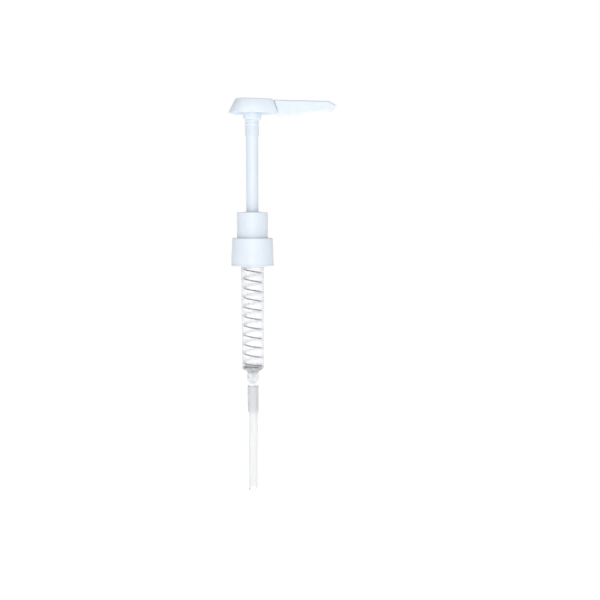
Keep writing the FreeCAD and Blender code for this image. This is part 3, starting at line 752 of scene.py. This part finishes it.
class PUMP_OT_valve_balls(bpy.types.Operator):
    """Polish the two glass valve balls"""

    bl_idname = "pump.valve_balls"
    bl_label = "Valve Balls"

    def execute(self, context):
        balls = tuple(context.scene.pump_finishes.balls)
        assign(glass("ball_polish", balls), "inlet_ball", "outlet_ball")
        return {"FINISHED"}


def wound_height(sizes, turn):
    """Height of the wire's centre over the lowest, after this many turns from a closed end."""
    tight = sizes.wire + sizes.gap
    height = tight * min(turn, sizes.closed)
    opened = max(turn - sizes.closed, 0)
    eased = min(opened, sizes.ease)
    height += tight * eased + (sizes.pitch - tight) * eased**2 / (2 * sizes.ease)
    return height + sizes.pitch * (opened - eased)


class PUMP_OT_return_spring(bpy.types.Operator):
    """Wind the return spring, with closed turns at each end and open turns between"""

    bl_idname = "pump.return_spring"
    bl_label = "Return Spring"

    def execute(self, context):
        sizes = context.scene.pump_spring
        low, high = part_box("spring")
        radius = high.y - sizes.wire / 2
        foot = low.z + sizes.wire / 2
        rise = high.z - low.z - sizes.wire
        end_turns = sizes.closed + sizes.ease
        turns = 2 * end_turns + (rise - 2 * wound_height(sizes, end_turns)) / sizes.pitch

        start_piece()
        bpy.ops.mesh.primitive_circle_add(
            vertices=sizes.sides, radius=sizes.wire / 2,
            location=(radius * math.cos(sizes.start), radius * math.sin(sizes.start), foot),
            rotation=(math.radians(90), 0, sizes.start),
        )
        piece = named("return_spring")
        steps = math.ceil(turns * sizes.steps)
        apply_modifier(piece, "SCREW", angle=-math.tau * turns, screw_offset=rise, steps=steps,
                       render_steps=steps, use_smooth_shade=True)
        if len(piece.data.vertices) != sizes.sides * (steps + 1):
            raise RuntimeError("the wire isn't wound in rings")

        for point in piece.data.vertices:
            turn = turns * (point.index // sizes.sides) / steps
            from_foot = turn <= turns / 2
            height = wound_height(sizes, turn if from_foot else turns - turn)
            height = height if from_foot else rise - height
            point.co.z += height - rise * turn / turns

        edit("EDGE")
        bpy.ops.mesh.select_all(action="DESELECT")
        bpy.ops.mesh.select_non_manifold()
        bpy.ops.mesh.edge_face_add()
        bpy.ops.mesh.select_all(action="SELECT")
        bpy.ops.mesh.normals_make_consistent(inside=False)
        wire = steel("spring_wire", tuple(context.scene.pump_finishes.wire), 0.3, 3000)
        finish_piece(piece, wire, None, "spring_steel", "spring", angle=60)
        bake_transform(piece)
        return {"FINISHED"}


# ---------------------------------------------------------------------------
# Stage
# ---------------------------------------------------------------------------


def area_lamp(name, place, width, power):
    """A large square soft lamp that points at the pump."""
    bpy.ops.object.light_add(type="AREA", location=place)
    lamp = bpy.context.object
    lamp.name = name
    lamp.data.size = width
    lamp.data.energy = power
    lamp.rotation_euler = (Vector(AIM) - Vector(place)).to_track_quat("-Z", "Y").to_euler()
    return lamp


def studio_surround(sides):
    """White all round as seen, but dimmer above and to the sides for the light that it gives."""
    world = bpy.data.worlds.new("studio")
    bpy.context.scene.world = world
    world.use_nodes = True
    tree = world.node_tree
    add, link = tree.nodes.new, tree.links.new
    split = add("ShaderNodeSeparateXYZ")
    link(add("ShaderNodeTexCoord").outputs["Generated"], split.inputs[0])
    shades = []
    for axis, (start, stop), end in (("X", SIDE_FALL, sides), ("Z", TOP_FALL, TOP_LIGHT)):
        away = add("ShaderNodeMath")
        away.operation = "ABSOLUTE"
        link(split.outputs[axis], away.inputs[0])
        ramp = add("ShaderNodeMapRange")
        ramp.interpolation_type = "SMOOTHSTEP"
        ramp.inputs["From Min"].default_value = start
        ramp.inputs["From Max"].default_value = stop
        ramp.inputs["To Min"].default_value = 1.0
        ramp.inputs["To Max"].default_value = end
        link(away.outputs[0], ramp.inputs["Value"])
        shades.append(ramp.outputs["Result"])
    dim = add("ShaderNodeMath")
    dim.operation = "MULTIPLY"
    link(shades[0], dim.inputs[0])
    link(shades[1], dim.inputs[1])
    path = add("ShaderNodeLightPath")
    seen = add("ShaderNodeMath")
    seen.operation = "MAXIMUM"
    link(path.outputs["Is Camera Ray"], seen.inputs[0])
    link(path.outputs["Is Transmission Ray"], seen.inputs[1])
    light = add("ShaderNodeMath")
    light.operation = "MAXIMUM"
    link(dim.outputs[0], light.inputs[0])
    link(seen.outputs[0], light.inputs[1])
    link(light.outputs[0], tree.nodes["Background"].inputs["Color"])


class PUMP_OT_stage(bpy.types.Operator):
    """Lay the floor, hang the lamps and set up the camera"""

    bl_idname = "pump.stage"
    bl_label = "Stage"

    def execute(self, context):
        sizes = context.scene.pump_stage
        floor_z = CAD_BOX[0][2] - FLOOR_GAP
        start_piece()
        bpy.ops.mesh.primitive_plane_add(size=sizes.floor, location=(0, 0, floor_z))
        floor = named("floor")
        paper = Finish("floor_paper")
        fibre = paper.noise(90, 4.0)
        paper.link(
            paper.shades(fibre, (0.3, (0.93, 0.93, 0.93)), (0.7, (0.95, 0.95, 0.95))),
            paper.shader.inputs["Base Color"],
        )
        paper.set(Roughness=0.9, Emission_Strength=sizes.glow)
        paper.shader.inputs["Emission Color"].default_value = (1, 1, 1, 1)
        floor.data.materials.append(paper.material)

        studio_surround(sizes.surround)
        area_lamp("key_lamp", KEY_PLACE, KEY_WIDTH, sizes.key)
        area_lamp("top_lamp", TOP_PLACE, TOP_WIDTH, sizes.fill)
        back = area_lamp("back_lamp", BACK_PLACE, BACK_WIDTH, sizes.back)
        back.visible_glossy = False
        back.visible_transmission = False

        bpy.ops.object.camera_add(location=CAMERA_PLACE)
        camera = context.object
        camera.name = "camera"
        camera.rotation_euler = (math.radians(90) - CAMERA_TILT, 0, 0)
        camera.data.lens = sizes.lens
        camera.data.sensor_width = FILM_WIDTH
        context.scene.camera = camera
        context.scene.view_settings.view_transform = "Standard"
        return {"FINISHED"}


class PUMP_PT_sidebar(bpy.types.Panel):
    """The pump's steps, in the order in which they are made"""

    bl_idname = "PUMP_PT_sidebar"
    bl_label = "Condiment Pump"
    bl_space_type = "VIEW_3D"
    bl_region_type = "UI"
    bl_category = "Pump"

    def draw(self, context):
        for step in STEPS:
            self.layout.operator(step.bl_idname)
        for group in SETTINGS:
            settings = getattr(context.scene, group)
            box = self.layout.box()
            for name in settings.bl_rna.properties.keys():
                if name not in ("rna_type", "name"):
                    box.prop(settings, name)


SETTINGS = {
    "pump_finishes": PumpFinishes,
    "pump_cover": CoverSizes,
    "pump_spring": SpringSizes,
    "pump_stage": StageSizes,
}
STEPS = (
    PUMP_OT_white_mouldings,
    PUMP_OT_press_cover,
    PUMP_OT_clear_mouldings,
    PUMP_OT_seals,
    PUMP_OT_valve_balls,
    PUMP_OT_return_spring,
    PUMP_OT_stage,
)


def register():
    for group in SETTINGS.values():
        bpy.utils.register_class(group)
    for step in STEPS:
        bpy.utils.register_class(step)
    bpy.utils.register_class(PUMP_PT_sidebar)
    for name, group in SETTINGS.items():
        setattr(bpy.types.Scene, name, PointerProperty(type=group))


def unregister():
    for name in SETTINGS:
        delattr(bpy.types.Scene, name)
    bpy.utils.unregister_class(PUMP_PT_sidebar)
    for step in reversed(STEPS):
        bpy.utils.unregister_class(step)
    for group in reversed(list(SETTINGS.values())):
        bpy.utils.unregister_class(group)


def main():
    """Make every piece and the stage."""
    register()
    bpy.ops.pump.white_mouldings()
    bpy.ops.pump.press_cover()
    bpy.ops.pump.clear_mouldings()
    bpy.ops.pump.seals()
    bpy.ops.pump.valve_balls()
    bpy.ops.pump.return_spring()
    bpy.ops.pump.stage()


if __name__ == "__main__":
    main()
